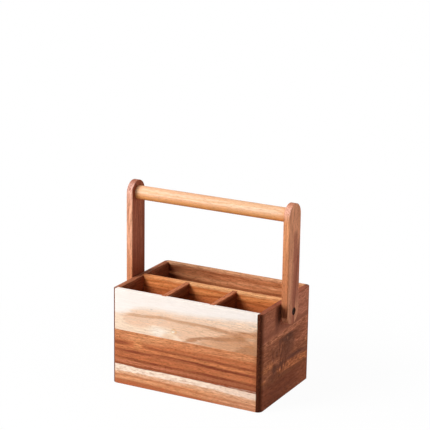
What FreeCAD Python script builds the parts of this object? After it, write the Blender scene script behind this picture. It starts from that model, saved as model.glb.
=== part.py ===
import FreeCAD, Part
import os

# Utensil caddy: an open box of edge-glued hardwood with three small compartments in front
# of one long one, and a carry handle that swings on a screw at each side.
# Millimetres. +X is to the right, -Y to the front and +Z up. The origin is the middle of
# the footprint, on the surface that the caddy stands on.

# Box, over its outer faces
box_width = 240.0
box_depth = 158.0
box_height = 143.5
wall = 8.8
corner_radius = 7.3
rim_ease = 0.8
base_ease = 1.0

# Each side laps over the ends of the front and back boards and leaves this lip showing
left_lip = 4.6
right_lip = 7.5

# Stave heights, from the base up; the upper stave takes what is left of each board
front_lower_stave = 30.5
front_middle_stave = 52.5
back_lower_stave = 47.0
back_middle_stave = 51.0
left_lower_stave = 38.0
left_middle_stave = 54.0
right_lower_stave = 32.0
right_middle_stave = 67.0

# Floor panel, let into a groove in the four walls
floor_thickness = 6.0
floor_rise = 5.0
floor_tongue = 4.0
floor_front_stave = 52.0
floor_middle_stave = 50.0

# Dividers, flush with the rim and let into housings
long_divider_thickness = 8.8
cross_divider_thickness = 8.0
housing_depth = 2.8
divider_lower_stave = 62.0

# Handle; the bars and the grip stand in front of the pivot line by the lead
pivot_below_rim = 15.0
pivot_to_grip = 139.4
upright_width = 36.4
upright_thickness = 9.8
upright_lead = 3.0
upright_ease = 1.0
grip_diameter = 20.4
socket_depth = 6.0
socket_clearance = 0.05
grip_end_chamfer = 0.8

# Pivot screws and washers
screw_diameter = 4.8
screw_core_diameter = 3.4
screw_length = 32.0
screw_plain_length = 9.0
screw_tip_length = 5.0
thread_pitch = 2.0
head_diameter = 9.2
head_height = 3.0
head_rounding = 1.2
recess_span = 4.6
recess_width = 1.2
recess_depth = 1.7
counterbore_diameter = 10.6
counterbore_depth = 4.0
washer_diameter = 12.0
washer_thickness = 0.5
pivot_clearance = 0.05
pilot_clearance = 0.03
running_gap = 0.1

# Places that follow from the sizes above
half_width = box_width / 2
half_depth = box_depth / 2
inner_half_width = half_width - wall
inner_half_depth = half_depth - wall
floor_top = floor_rise + floor_thickness
long_divider_half = long_divider_thickness / 2
pivot_height = box_height - pivot_below_rim
grip_height = pivot_height + pivot_to_grip
upright_inner_face = half_width + washer_thickness + running_gap
upright_outer_face = upright_inner_face + upright_thickness
counterbore_floor = upright_outer_face - counterbore_depth
head_seat = counterbore_floor + running_gap
screw_tip = head_seat - screw_length

ORIGIN = FreeCAD.Vector(0, 0, 0)
ALONG_X = FreeCAD.Vector(1, 0, 0)


def block(x_low, x_high, y_low, y_high, z_low, z_high):
    corner = FreeCAD.Vector(x_low, y_low, z_low)
    return Part.makeBox(x_high - x_low, y_high - y_low, z_high - z_low, corner)


def rod(radius, x_low, x_high, z, y=0):
    """A round bar along X, in the plane of the pivots unless y says otherwise."""
    return Part.makeCylinder(radius, x_high - x_low, FreeCAD.Vector(x_low, y, z), ALONG_X)


def mirrored(shape):
    """The same piece for the left-hand side."""
    return shape.mirror(ORIGIN, ALONG_X)


def edges_at(shape, low, high):
    """Edges whose whole length lies between two corners."""
    margin = 0.01
    found = []
    for edge in shape.Edges:
        bounds = edge.BoundBox
        inside_x = bounds.XMin > low[0] - margin and bounds.XMax < high[0] + margin
        inside_y = bounds.YMin > low[1] - margin and bounds.YMax < high[1] + margin
        inside_z = bounds.ZMin > low[2] - margin and bounds.ZMax < high[2] + margin
        if inside_x and inside_y and inside_z:
            found.append(edge)
    return found


# ---------------------------------------------------------------- box blank
def box_blank():
    """The four walls as one sanded ring, before it is parted into boards."""
    solid = block(-half_width, half_width, -half_depth, half_depth, 0, box_height)
    upright_edges = []
    for edge in solid.Edges:
        if edge.BoundBox.ZLength > box_height / 2:
            upright_edges.append(edge)
    solid = solid.makeFillet(corner_radius, upright_edges)
    footprint = (half_width, half_depth)
    base_edges = edges_at(solid, (-footprint[0], -footprint[1], 0), (*footprint, 0))
    solid = solid.makeFillet(base_ease, base_edges)
    rim_edges = edges_at(solid, (-footprint[0], -footprint[1], box_height), (*footprint, box_height))
    solid = solid.makeFillet(rim_ease, rim_edges)
    well = block(-inner_half_width, inner_half_width,
                 -inner_half_depth, inner_half_depth, 0, box_height)
    ring = solid.cut(well)
    opening = (inner_half_width, inner_half_depth)
    well_edges = edges_at(ring, (-opening[0], -opening[1], box_height), (*opening, box_height))
    return ring.makeFillet(rim_ease, well_edges)


# ---------------------------------------------------------------- floor and dividers
floor_half_width = inner_half_width + floor_tongue
floor_half_depth = inner_half_depth + floor_tongue
floor_panel = block(-floor_half_width, floor_half_width,
                    -floor_half_depth, floor_half_depth, floor_rise, floor_top)

divider_half_width = inner_half_width + housing_depth
long_divider = block(-divider_half_width, divider_half_width,
                     -long_divider_half, long_divider_half, floor_top, box_height)

compartment_width = (2 * inner_half_width - 2 * cross_divider_thickness) / 3
cross_front_end = -inner_half_depth - housing_depth
cross_back_end = -long_divider_half + housing_depth


def cross_divider(x_low):
    x_high = x_low + cross_divider_thickness
    return block(x_low, x_high, cross_front_end, cross_back_end, floor_top, box_height)


left_cross_divider = cross_divider(-inner_half_width + compartment_width)
right_cross_divider = cross_divider(inner_half_width - compartment_width - cross_divider_thickness)


def ease_top(divider):
    """Round the two long top edges of a divider a little."""
    bounds = divider.BoundBox
    low = (bounds.XMin, bounds.YMin, box_height)
    high = (bounds.XMax, bounds.YMax, box_height)
    top_edges = sorted(edges_at(divider, low, high), key=lambda edge: edge.Length)
    return divider.makeFillet(rim_ease, top_edges[-2:])


# ---------------------------------------------------------------- pivot screws and washers
def pivot_screw():
    """Pan-head wood screw for the right-hand side, its axis along X."""
    shank_radius = screw_diameter / 2
    core_radius = screw_core_diameter / 2
    thread_end = -screw_length + screw_tip_length
    half_pitch = thread_pitch / 2
    profile = [(0, 0), (0, shank_radius), (-screw_plain_length, shank_radius)]
    ring_count = int((-screw_plain_length - thread_end) / thread_pitch)
    for ring in range(ring_count):
        start = -screw_plain_length - ring * thread_pitch
        profile.append((start - half_pitch, core_radius))
        profile.append((start - thread_pitch, shank_radius))
    profile.append((thread_end - half_pitch, core_radius))
    profile.append((-screw_length, 0))
    profile.append((0, 0))
    points = [FreeCAD.Vector(along, 0, out) for along, out in profile]
    shank = Part.Face(Part.makePolygon(points)).revolve(ORIGIN, ALONG_X, 360)
    head = Part.makeCylinder(head_diameter / 2, head_height, ORIGIN, ALONG_X)
    face_low = (head_height, -head_diameter, -head_diameter)
    face_high = (head_height, head_diameter, head_diameter)
    head = head.makeFillet(head_rounding, edges_at(head, face_low, face_high))
    half_span = recess_span / 2
    half_slot = recess_width / 2
    recess_floor = head_height - recess_depth
    tall_slot = block(recess_floor, head_height, -half_slot, half_slot, -half_span, half_span)
    wide_slot = block(recess_floor, head_height, -half_span, half_span, -half_slot, half_slot)
    screw = head.fuse(shank).cut(tall_slot.fuse(wide_slot)).removeSplitter()
    screw.translate(FreeCAD.Vector(head_seat, 0, pivot_height))
    return screw


def washer():
    """Flat washer between the right side and its upright."""
    outer_face = half_width + washer_thickness
    disc = rod(washer_diameter / 2, half_width, outer_face, pivot_height)
    return disc.cut(rod(screw_diameter / 2 + pivot_clearance, half_width, outer_face, pivot_height))


# ---------------------------------------------------------------- handle
def upright():
    """Flat bar with two round ends, for the right-hand side."""
    radius = upright_width / 2
    x = upright_inner_face
    y = -upright_lead
    low_front = FreeCAD.Vector(x, y - radius, pivot_height)
    low_tip = FreeCAD.Vector(x, y, pivot_height - radius)
    low_back = FreeCAD.Vector(x, y + radius, pivot_height)
    high_back = FreeCAD.Vector(x, y + radius, grip_height)
    high_tip = FreeCAD.Vector(x, y, grip_height + radius)
    high_front = FreeCAD.Vector(x, y - radius, grip_height)
    outline = Part.Wire([
        Part.Arc(low_front, low_tip, low_back).toShape(),
        Part.LineSegment(low_back, high_back).toShape(),
        Part.Arc(high_back, high_tip, high_front).toShape(),
        Part.LineSegment(high_front, low_front).toShape(),
    ])
    bar = Part.Face(outline).extrude(FreeCAD.Vector(upright_thickness, 0, 0))
    face_edges = [edge for edge in bar.Edges if edge.BoundBox.XLength < upright_thickness / 2]
    bar = bar.makeFillet(upright_ease, face_edges)
    hole_radius = screw_diameter / 2 + pivot_clearance
    pivot_hole = rod(hole_radius, upright_inner_face, upright_outer_face, pivot_height)
    counterbore = rod(counterbore_diameter / 2, counterbore_floor, upright_outer_face, pivot_height)
    socket_floor = upright_inner_face + socket_depth
    socket_radius = grip_diameter / 2 + socket_clearance
    socket = rod(socket_radius, upright_inner_face, socket_floor, grip_height, y)
    return bar.cut(pivot_hole).cut(counterbore).cut(socket)


def grip():
    """Round rod that reaches the floor of both sockets."""
    half_length = upright_inner_face + socket_depth
    bar = rod(grip_diameter / 2, -half_length, half_length, grip_height, -upright_lead)
    ends = [edge for edge in bar.Edges if edge.BoundBox.XLength < grip_diameter / 2]
    return bar.makeChamfer(grip_end_chamfer, ends)


# ---------------------------------------------------------------- boards
blank = box_blank()
front_board = blank.common(block(-half_width + left_lip, half_width - right_lip,
                                 -half_depth, -inner_half_depth, 0, box_height))
back_board = blank.common(block(-half_width + left_lip, half_width - right_lip,
                                inner_half_depth, half_depth, 0, box_height))
left_board = blank.common(block(-half_width, -inner_half_width, -half_depth, half_depth, 0, box_height))
right_board = blank.common(block(inner_half_width, half_width, -half_depth, half_depth, 0, box_height))

lapped_boards = front_board.fuse(back_board)
let_in = floor_panel.fuse([long_divider, left_cross_divider, right_cross_divider])
pilot_radius = screw_diameter / 2 + pilot_clearance
right_pilot = rod(pilot_radius, screw_tip, half_width, pivot_height)
pilots = right_pilot.fuse(mirrored(right_pilot))

front_board = front_board.cut(let_in)
back_board = back_board.cut(let_in)
left_board = left_board.cut(lapped_boards).cut(let_in).cut(pilots)
right_board = right_board.cut(lapped_boards).cut(let_in).cut(pilots)
cross_dividers = left_cross_divider.fuse(right_cross_divider)
long_divider = ease_top(long_divider).cut(cross_dividers).cut(pilots)
left_cross_divider = ease_top(left_cross_divider)
right_cross_divider = ease_top(right_cross_divider)


# ---------------------------------------------------------------- staves
def slab(low, high, axis):
    """All of the box between two levels along Y or Z."""
    if axis == "Y":
        return block(-half_width, half_width, low, high, 0, box_height)
    return block(-half_width, half_width, -half_depth, half_depth, low, high)


def staves(board, names, levels, axis="Z"):
    """Part a board at its glue joints."""
    pieces = {}
    for name, low, high in zip(names, levels, levels[1:]):
        pieces[name] = board.common(slab(low, high, axis))
    return pieces


def wall_staves(side, board, lower, middle):
    names = [f"{side}_lower_stave", f"{side}_middle_stave", f"{side}_upper_stave"]
    return staves(board, names, [0, lower, lower + middle, box_height])


def divider_staves(name, board):
    joint = floor_top + divider_lower_stave
    return staves(board, [f"{name}_lower", f"{name}_upper"], [floor_top, joint, box_height])


nodes = {}
nodes.update(wall_staves("front", front_board, front_lower_stave, front_middle_stave))
nodes.update(wall_staves("back", back_board, back_lower_stave, back_middle_stave))
nodes.update(wall_staves("left", left_board, left_lower_stave, left_middle_stave))
nodes.update(wall_staves("right", right_board, right_lower_stave, right_middle_stave))

floor_joint = -floor_half_depth + floor_front_stave
floor_levels = [-floor_half_depth, floor_joint, floor_joint + floor_middle_stave, floor_half_depth]
floor_names = ["floor_front_stave", "floor_middle_stave", "floor_back_stave"]
nodes.update(staves(floor_panel, floor_names, floor_levels, "Y"))
nodes.update(divider_staves("long_divider", long_divider))
nodes.update(divider_staves("left_cross_divider", left_cross_divider))
nodes.update(divider_staves("right_cross_divider", right_cross_divider))

right_upright = upright()
nodes["left_upright"] = mirrored(right_upright)
nodes["right_upright"] = right_upright
nodes["grip"] = grip()

right_screw = pivot_screw()
nodes["left_pivot_screw"] = mirrored(right_screw)
nodes["right_pivot_screw"] = right_screw
right_washer = washer()
nodes["left_washer"] = mirrored(right_washer)
nodes["right_washer"] = right_washer

os.makedirs("parts", exist_ok=True)
for name, shape in nodes.items():
    if shape.ShapeType == "Compound" and len(shape.Solids) == 1:
        shape = shape.Solids[0]
    shape.exportStep(f"parts/{name}.step")
    print(name, len(shape.Solids), "solid", shape.isValid(), round(shape.Volume, 1), "mm3")
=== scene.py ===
import math

import bpy
from mathutils import Matrix, Vector


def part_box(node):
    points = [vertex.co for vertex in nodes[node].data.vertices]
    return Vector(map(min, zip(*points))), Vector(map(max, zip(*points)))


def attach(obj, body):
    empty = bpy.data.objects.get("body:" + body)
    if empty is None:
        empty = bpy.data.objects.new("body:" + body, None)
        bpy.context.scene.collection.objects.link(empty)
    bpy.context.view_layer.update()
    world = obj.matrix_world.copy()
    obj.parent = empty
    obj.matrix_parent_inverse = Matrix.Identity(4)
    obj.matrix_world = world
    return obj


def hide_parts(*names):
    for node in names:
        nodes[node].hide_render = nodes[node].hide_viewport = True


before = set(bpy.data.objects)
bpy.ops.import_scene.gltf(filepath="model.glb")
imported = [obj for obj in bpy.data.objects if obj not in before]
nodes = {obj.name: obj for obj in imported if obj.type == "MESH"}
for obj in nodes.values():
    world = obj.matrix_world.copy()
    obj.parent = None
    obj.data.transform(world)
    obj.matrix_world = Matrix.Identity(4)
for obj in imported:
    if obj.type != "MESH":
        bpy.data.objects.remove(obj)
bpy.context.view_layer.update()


# ---------------------------------------------------------------- floor panel
# Three edge-glued staves of plain heartwood that lie in a groove of the four walls and carry
# the cutlery. Planed, sanded and oiled; the grain runs from left to right.
class Reading:
    """What one node of a material or of a rule gives. Sums and products of readings add Math nodes."""

    def __init__(self, socket):
        self.socket = socket

    def node(self, kind, settings=None, inputs=None, output=0):
        """Any other node of the same tree: settings first, then the values or links of its sockets."""
        tree = self.socket.id_data
        made = tree.nodes.new(kind)
        for name, value in (settings or {}).items():
            if name == "points":
                put_points(made.mapping, value)
            else:
                setattr(made, name, value)
        for name, value in (inputs or {}).items():
            if isinstance(value, Reading):
                tree.links.new(value.socket, made.inputs[name])
            else:
                made.inputs[name].default_value = value
        return Reading(made.outputs[output])

    def maths(self, operation, *values):
        return self.node("ShaderNodeMath", {"operation": operation}, dict(enumerate(values)))

    def __add__(self, other):
        return self.maths("ADD", self, other)

    def __sub__(self, other):
        return self.maths("SUBTRACT", self, other)

    def __rsub__(self, other):
        return self.maths("SUBTRACT", other, self)

    def __mul__(self, other):
        return self.maths("MULTIPLY", self, other)

    def __truediv__(self, other):
        return self.maths("DIVIDE", self, other)

    def __abs__(self):
        return self.maths("ABSOLUTE", self)

    __radd__ = __add__
    __rmul__ = __mul__


def put_points(mapping, points):
    """Lay a curve node's line through these points, each from 0 to 1."""
    curve = mapping.curves[0]
    curve.points[0].location = points[0]
    curve.points[1].location = points[-1]
    for across, up in points[1:-1]:
        curve.points.new(across, up)
    mapping.update()


def vector_maths(operation, first, second):
    return first.node("ShaderNodeVectorMath", {"operation": operation}, {0: first, 1: second})


def length_of(vector):
    return vector.node("ShaderNodeVectorMath", {"operation": "LENGTH"}, {0: vector}, "Value")


def part_of(vector, axis):
    return vector.node("ShaderNodeSeparateXYZ", {}, {0: vector}, axis)


def rise(value, low, high):
    """0 below low, 1 above high, and a smooth slope between them."""
    settings = {"interpolation_type": "SMOOTHSTEP"}
    return value.node("ShaderNodeMapRange", settings, {"Value": value, "From Min": low, "From Max": high})


def opaque(colour):
    return (*colour, 1.0)


def blend(first, second, share):
    """The first colour where share is 0, the second where it is 1."""
    first_input, second_input, colour_output = 6, 7, 2
    inputs = {0: share, first_input: first, second_input: second}
    return share.node("ShaderNodeMix", {"data_type": "RGBA"}, inputs, colour_output)


def noise(place, seed, length, width, detail, output=0):
    """Noise with features about this long with the grain and this wide across it."""
    stretched = vector_maths("MULTIPLY", place, (1 / length, 1 / width, 1 / width))
    inputs = {"Vector": stretched, "W": seed, "Scale": 1.0, "Detail": detail}
    return stretched.node("ShaderNodeTexNoise", {"noise_dimensions": "4D"}, inputs, output)


def uneven(place, seed, length, width, detail):
    """The same noise, but from about -0.5 to 0.5."""
    return noise(place, seed, length, width, detail) - 0.5


PER_METRE = 1000.0
TO_MILLIMETRES = (PER_METRE, PER_METRE, PER_METRE)
GRAIN_TURNS = {
    "X": (0.0, 0.0, 0.0),
    "Y": (0.0, 0.0, -math.pi / 2),
    "Z": (0.0, math.pi / 2, 0.0),
}
DRIFT_SIZE = (110.0, 26.0)
DRIFT = 12.0
FIBRE_SIZE = (36.0, 1.5)
CLOUD_SIZE = (80.0, 16.0)
PORE_SIZE = (4.2, 0.45)
FRAY_SIZE = (13.0, 1.3)
SWAY_SIZE = (50.0, 14.0)
SLIP_SIZE = (30.0, 1.6)
SLIP = 12.0
RINGS_WITH_GRAIN = 0.03
RING_WEIGHT = 1.5
FIBRE_WEIGHT = 0.7
CLOUD_WEIGHT = 0.9
DASH_WEIGHT = 1.5
DARK_FIBRES = (0.52, 0.44, 0.38)
LIGHT_FIBRES = (1.48, 1.54, 1.59)
PORE_DEPTH = 0.00006
OILED_SPECULAR = 0.02


class Board:
    """One stick of wood: its colour so far, and the directions in it, in millimetres.

    After Board.grow, straight runs with the grain and along does too but frays a little, up is the
    height on the board's face with the sway of the fibres, and a line is a list of (along, up).
    """

    def __init__(self, name, grain, seed):
        self.material = bpy.data.materials.new(name)
        self.material.use_nodes = True
        self.seed = seed
        tree = self.material.node_tree
        self.shader = tree.nodes["Principled BSDF"]
        point = Reading(tree.nodes.new("ShaderNodeTexCoord").outputs["Object"])
        turned = {"Vector": point, "Rotation": GRAIN_TURNS[grain], "Scale": TO_MILLIMETRES}
        self.place = point.node("ShaderNodeMapping", {}, turned)

    def grow(self, early, late, heart, ring, contrast=1.0, crisp=1.0, dash=(8.0, 1.7), fray=1.1):
        """Year rings round a heart line, fibres and soft clouds, from late (dark) to early (light) wood."""
        drift = noise(self.place, self.seed, *DRIFT_SIZE, 1.0, "Color")
        drift = vector_maths("SUBTRACT", drift, (0.5, 0.5, 0.5))
        drift = vector_maths("MULTIPLY", drift, (0.0, DRIFT, DRIFT))
        self.grown = vector_maths("ADD", self.place, drift)
        from_heart = vector_maths("SUBTRACT", self.grown, (0.0, *heart))
        radius = length_of(vector_maths("MULTIPLY", from_heart, (RINGS_WITH_GRAIN, 1.0, 1.0)))
        years = {"W": radius / ring + self.seed, "Scale": 1.0, "Detail": 3.0, "Roughness": 0.62}
        self.rings = radius.node("ShaderNodeTexNoise", {"noise_dimensions": "1D"}, years)
        self.fibre = noise(self.grown, self.seed + 1, *FIBRE_SIZE, 3.0)
        cloud = noise(self.grown, self.seed + 2, *CLOUD_SIZE, 1.0)
        light = (self.rings - 0.5) * RING_WEIGHT + (self.fibre - 0.5) * FIBRE_WEIGHT
        light = light + (cloud - 0.5) * CLOUD_WEIGHT
        self.colour = blend(opaque(late), opaque(early), rise(light * contrast, -0.42, 0.42))
        dashes = uneven(self.grown, self.seed + 7, *dash, 2.0)
        self.grain = ((self.fibre - 0.5) * FIBRE_WEIGHT + dashes * DASH_WEIGHT) * crisp
        self.pores = rise(noise(self.grown, self.seed + 3, *PORE_SIZE, 0.0), 0.60, 0.70) * crisp
        frayed = uneven(self.place, self.seed + 4, *FRAY_SIZE, 2.0) * 2 * fray
        sway = uneven(self.place, self.seed + 5, *SWAY_SIZE, 1.0) * 2.0
        self.straight = part_of(self.place, "X")
        self.along = self.straight + uneven(self.place, self.seed + 6, *SLIP_SIZE, 1.0) * SLIP
        self.up = part_of(self.place, "Z") + frayed + sway

    def tint(self, colour, share):
        """Lay a colour over the wood where share is above 0, more in some fibres than in others."""
        self.colour = blend(self.colour, opaque(colour), share * (1 + self.grain * 1.2))

    def height_of(self, line):
        """The height at which a grain line lies, anywhere along the board."""
        left, right = line[0][0], line[-1][0]
        heights = [height for _, height in line]
        low, high = min(heights), max(heights)
        path = [((along - left) / (right - left), (height - low) / (high - low)) for along, height in line]
        share = (self.along - left) / (right - left)
        curve = share.node("ShaderNodeFloatCurve", {"points": path}, {"Value": share})
        return curve * (high - low) + low

    def under(self, line, fade):
        """1 below a grain line and 0 above it."""
        return 1 - rise(self.up - self.height_of(line), -fade / 2, fade / 2)

    def streak(self, line, thickness, fade):
        """1 on a band of this thickness along a grain line, fading to 0 over a width on each side."""
        from_line = abs(self.up - self.height_of(line))
        return 1 - rise(from_line, thickness / 2, thickness / 2 + fade)

    def from_middle(self, middle, size):
        """How far a point is from a middle on the board's face, where 1 is on the oval of this size."""
        inputs = {"X": (self.along * 0.35 + self.straight * 0.65 - middle[0]) / size[0],
                  "Y": (self.up - middle[1]) / size[1]}
        return length_of(self.up.node("ShaderNodeCombineXYZ", {}, inputs))

    def patch(self, middle, size):
        """1 in the middle of an oval, fading to 0 at its rim."""
        return 1 - rise(self.from_middle(middle, size), 0.35, 1.1)

    def loop(self, middle, size, thickness):
        """1 on the line of an oval, fading to 0 on both sides of it."""
        from_loop = abs(self.from_middle(middle, size) - 0.85)
        return 1 - rise(from_loop, thickness / 2, thickness * 1.5)

    def finish(self, sheen=0.5, calm=0.0):
        """Darken the late fibres and the open pores, less where the wood is calm, then oil the surface."""
        lit = 0.5 + (self.grain * 0.62 - self.pores * 0.3) * (1 - calm)
        fibres = blend(opaque(DARK_FIBRES), opaque(LIGHT_FIBRES), lit)
        colour = vector_maths("MULTIPLY", self.colour, fibres)
        tree = self.material.node_tree
        tree.links.new(colour.socket, self.shader.inputs["Base Color"])
        rough = sheen - self.grain * 0.14 + self.pores * 0.16
        tree.links.new(rough.socket, self.shader.inputs["Roughness"])
        height = self.fibre * 0.55 + self.rings * 0.45 - self.pores
        relief = {"Height": height, "Distance": PORE_DEPTH, "Strength": 1.0}
        normal = height.node("ShaderNodeBump", {}, relief)
        tree.links.new(normal.socket, self.shader.inputs["Normal"])
        self.shader.inputs["Specular IOR Level"].default_value = OILED_SPECULAR
        return self.material


def coat(node, board, calm=0.0):
    """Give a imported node's own surface the finish of this board."""
    material = board.finish(calm=calm)
    for place in nodes[node].material_slots:
        place.material = material


FLOOR_EARLY = (0.50, 0.185, 0.075)
FLOOR_LATE = (0.27, 0.082, 0.034)
for seed, node in enumerate(("floor_front_stave", "floor_middle_stave", "floor_back_stave")):
    board = Board(node, "X", 3.0 + 7 * seed)
    board.grow(FLOOR_EARLY, FLOOR_LATE, heart=(-30.0 + 25 * seed, -70.0), ring=5.0)
    coat(node, board)


# ---------------------------------------------------------------- front board, lower stave
# Heartwood with one edge of pale sapwood, glued below the middle stave so that the sapwood
# shows as a cream stripe under the joint. Reddish along its foot, greyer towards the right.
LOWER_EARLY = (0.79, 0.37, 0.18)
LOWER_LATE = (0.66, 0.275, 0.122)
LOWER_GREYER = (0.74, 0.39, 0.23)
RUST = (0.52, 0.17, 0.075)
RUST_SPOT = (0.46, 0.16, 0.075)
RUST_LINE = [(-118, 15), (-60, 14.5), (-20, 14), (30, 10), (100, 8)]
FOOT = (0.47, 0.136, 0.056)
FOOT_LINE = [(-118, 8.5), (-95, 8.5), (-75, 8.0), (-50, 7.5), (-25, 6.5), (0, 5.0), (25, 4.6), (118, 5.4)]
TOWARDS_SAPWOOD = (0.82, 0.51, 0.33)
SAPWOOD = (0.98, 0.79, 0.635)
SAPWOOD_GREYER = (0.93, 0.69, 0.54)
SAPWOOD_LINE = [(-118, 20.0), (-60, 21.2), (-20, 21.2), (20, 21.6), (60, 20.2), (118, 18.6)]
JOINT_STAIN = (0.31, 0.088, 0.036)
STAIN_LINE = [(-118, 31.8), (-95, 30.2), (-70, 29.4), (-30, 29.8),
              (0, 29.4), (50, 28.7), (80, 28.1), (118, 26.9)]

board = Board("front_lower_stave", "X", 41.0)
board.grow(LOWER_EARLY, LOWER_LATE, heart=(60.0, -50.0), ring=4.0)
greyer = rise(board.along, 10.0, 90.0)
board.tint(LOWER_GREYER, greyer * 0.65)
board.tint(RUST, board.streak(RUST_LINE, 1.2, 1.6) * 0.55)
board.tint(RUST_SPOT, board.patch((-27, 13.5), (8, 1.8)) * 0.6)
foot = board.under(FOOT_LINE, 3.4)
board.tint(FOOT, foot * (0.88 - greyer * 0.42))
board.tint(TOWARDS_SAPWOOD, rise(board.up, 14.5, 18.0) * 0.6)
sapwood = 1 - board.under(SAPWOOD_LINE, 2.8)
board.tint(SAPWOOD, sapwood)
board.tint(SAPWOOD_GREYER, sapwood * greyer * 0.8)
stained = 1 - board.under(STAIN_LINE, 1.0)
board.tint(JOINT_STAIN, stained * 0.9)
coat("front_lower_stave", board, calm=sapwood * 0.25)


# ---------------------------------------------------------------- front board, middle stave
# Orange-brown heartwood, flat-sawn, edge-glued between the other two. Dark streaks run the whole
# length of the board, broken here and there, and it is darker along its lower joint.
def between(value, low, high, fade):
    """1 between low and high, fading to 0 over a width outside them."""
    return rise(value, low - fade, low) * (1 - rise(value, high, high + fade))


MIDDLE_EARLY = (0.75, 0.330, 0.150)
MIDDLE_LATE = (0.60, 0.215, 0.092)
LOWER_HALF = (0.55, 0.17, 0.066)
LOWER_HALF_LINE = [(-118, 69), (-60, 70), (0, 71), (118, 73)]
BAND_BETWEEN_STREAKS = (0.50, 0.155, 0.066)
BOTTOM_EDGE = (0.31, 0.086, 0.038)
BOTTOM_EDGE_LINE = [(-118, 34), (0, 33.5), (118, 33)]
BOTTOM_LEFT = (0.54, 0.185, 0.092)
BOTTOM_RIGHT = (0.36, 0.115, 0.055)
LOW_BAND = (0.50, 0.15, 0.058)
UPPER_GLOW = (0.62, 0.205, 0.08)
LIGHT_BAND = (0.66, 0.235, 0.09)
LIGHT_BAND_LINE = [(-118, 59), (-75, 58.6), (0, 58.2), (50, 57.4), (118, 55.8)]
LIGHT_PATCH = (0.68, 0.275, 0.108)
THIN_VEIN = (0.40, 0.105, 0.04)
THIN_VEIN_LINE = [(-40, 69), (0, 68.5), (60, 69.6), (118, 66)]
RIGHT_END = (0.30, 0.085, 0.035)
STREAK = (0.25, 0.061, 0.028)
LOW_STREAK = [(-118, 42), (-95, 41.5), (-60, 40.4), (0, 40.4), (60, 40.2), (118, 38.4)]
MAIN_STREAK = [(-118, 54), (-75, 53), (-50, 54), (0, 55), (25, 54.4), (50, 52.8), (118, 51.4)]
FINE_STREAK = [(-118, 51), (-60, 51.6), (20, 51.8), (118, 49.5)]
HIGH_STREAK = [(-70, 63.6), (-25, 63), (25, 62.6), (75, 61.4), (118, 60.4)]

board = Board("front_middle_stave", "X", 52.0)
board.grow(MIDDLE_EARLY, MIDDLE_LATE, heart=(120.0, 60.0), ring=4.0, crisp=1.5, dash=(14.0, 1.4))
to_right = rise(board.along, -60.0, 95.0)
broken = 0.92 + uneven(board.grown, 57.0, 34.0, 5.0, 2.0) * 2.0
board.tint(LOWER_HALF, board.under(LOWER_HALF_LINE, 6.0) * 0.85)
board.tint(BAND_BETWEEN_STREAKS, between(board.up, 47.5, 54.0, 1.6) * 0.55)
board.tint(BOTTOM_EDGE, board.under(BOTTOM_EDGE_LINE, 2.0) * 0.9)
board.tint(BOTTOM_LEFT, between(board.up, 34.6, 37.8, 1.2) * (0.8 - to_right * 0.6))
board.tint(BOTTOM_RIGHT, between(board.up, 33.5, 39.0, 1.5) * to_right * 0.7)
board.tint(STREAK, board.streak(LOW_STREAK, 1.9, 1.9) * (0.80 + to_right * 0.18) * broken)
board.tint(LOW_BAND, between(board.up, 43.0, 47.5, 1.6) * (1 - to_right) * 0.6)
board.tint(UPPER_GLOW, board.patch((-8, 74), (48, 4)) * 0.5)
board.tint(STREAK, board.streak(MAIN_STREAK, 1.7, 1.6) * (0.70 + to_right * 0.28) * broken)
board.tint(STREAK, board.streak(FINE_STREAK, 0.8, 1.0) * (0.42 + to_right * 0.25) * broken)
board.tint(LIGHT_BAND, board.streak(LIGHT_BAND_LINE, 1.8, 1.2) * 0.75)
started = rise(board.along, -72.0, -56.0)
board.tint(STREAK, board.streak(HIGH_STREAK, 1.6, 1.7) * started * (0.58 + to_right * 0.12) * broken)
board.tint(STREAK, board.patch((-106, 64), (22, 4.4)) * 0.66)
board.tint(LIGHT_PATCH, board.patch((-77, 66), (9, 10)) * 0.8)
board.tint(THIN_VEIN, board.streak(THIN_VEIN_LINE, 1.0, 1.6) * rise(board.along, -50.0, 0.0) * 0.3)
board.tint(RIGHT_END, rise(board.straight, 102.0, 113.0) * 0.5)
coat("front_middle_stave", board)


# ---------------------------------------------------------------- front board, upper stave
# Pale sapwood, edge-glued on top of the middle stave. In it lies the soft figure of a small knot:
# one brown streak of heartwood, a tan tail that widens to the right, and the curl of the knot.
PALE_EARLY = (0.98, 0.905, 0.85)
PALE_LATE = (0.962, 0.878, 0.81)
FIGURE = (0.925, 0.675, 0.49)
FIGURE_EDGE = [(-120, 105), (-104, 109.5), (-92, 113.5), (-80, 119),
               (-60, 122), (0, 123.5), (55, 126.5), (120, 132.5)]
RING_LINES = (0.80, 0.52, 0.33)
TAN = (0.87, 0.575, 0.395)
TAN_EDGE = [(-120, 98), (-98, 104), (-88, 111), (-60, 114), (0, 116), (120, 121)]
DEEPER_TAN = (0.80, 0.49, 0.31)
DEEPER_TAN_EDGE = [(-60, 104), (-20, 110), (60, 113), (120, 116)]
TAIL = (0.67, 0.335, 0.175)
TAIL_EDGE = [(10, 92), (40, 98), (60, 103), (85, 112), (120, 118)]
PALE_LOW = (0.935, 0.72, 0.545)
PALE_LOW_EDGE = [(-120, 109), (-104, 105), (-98, 96), (-90, 93.5), (-75, 92.5), (-64, 94.5),
                 (-55, 98), (-40, 100), (-24, 99), (-16, 92), (-6, 84), (10, 76)]
PALE_BY_KNOT = (0.975, 0.84, 0.71)
TAN_BELOW_KNOT = (0.86, 0.585, 0.385)
HEART_STREAK = (0.62, 0.325, 0.18)
HEART_STREAK_LINE = [(-112, 105), (-97, 107.8), (-80, 109.3), (-65, 110.3), (-50, 111.7), (-35, 112.6),
                     (0, 111.8), (25, 112.2), (40, 111.2), (55, 109.8), (70, 109), (86, 106)]
SECOND_STREAK = (0.60, 0.29, 0.155)
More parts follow.
